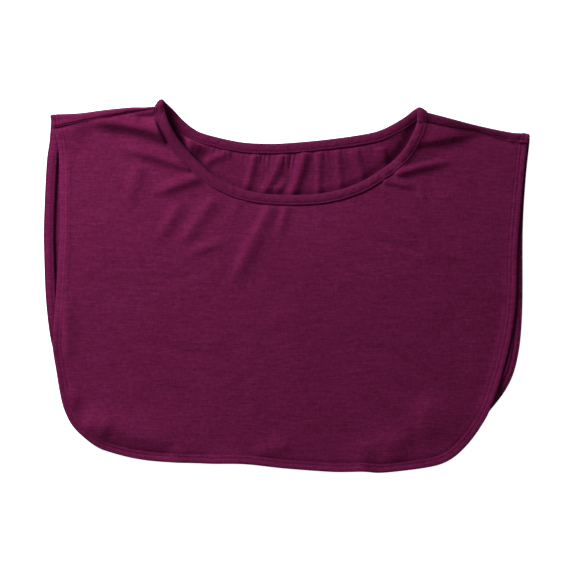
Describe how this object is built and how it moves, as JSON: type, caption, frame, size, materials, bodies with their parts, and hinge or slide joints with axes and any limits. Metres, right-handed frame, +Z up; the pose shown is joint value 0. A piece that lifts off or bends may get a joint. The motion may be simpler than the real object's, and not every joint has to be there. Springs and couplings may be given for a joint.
{
  "type": "jersey dickey",
  "caption": "Jersey dickey laid flat: front and back panels joined at the shoulders, bound scoop neck, open sides, rounded lower corners and turned hems.",
  "frame": {"origin": "bottom centre of the whole as it lies, on the surface under the back panel", "axes": "+X to the right as seen from above, +Y towards the neck, +Z up out of the surface"},
  "size_m": [0.4502, 0.3453, 0.0132],
  "materials": {
    "panel_jersey": "plum knitted jersey, matt, with fine crosswise streaks",
    "binding_jersey": "the same jersey, folded over and stitched"
  },
  "bodies": {
    "root": {"front_panel": "panel_jersey", "back_panel": "panel_jersey", "front_hem": "panel_jersey", "back_hem": "panel_jersey", "neck_binding": "binding_jersey", "left_shoulder_seam": "panel_jersey", "right_shoulder_seam": "panel_jersey"}
  },
  "joints": []
}
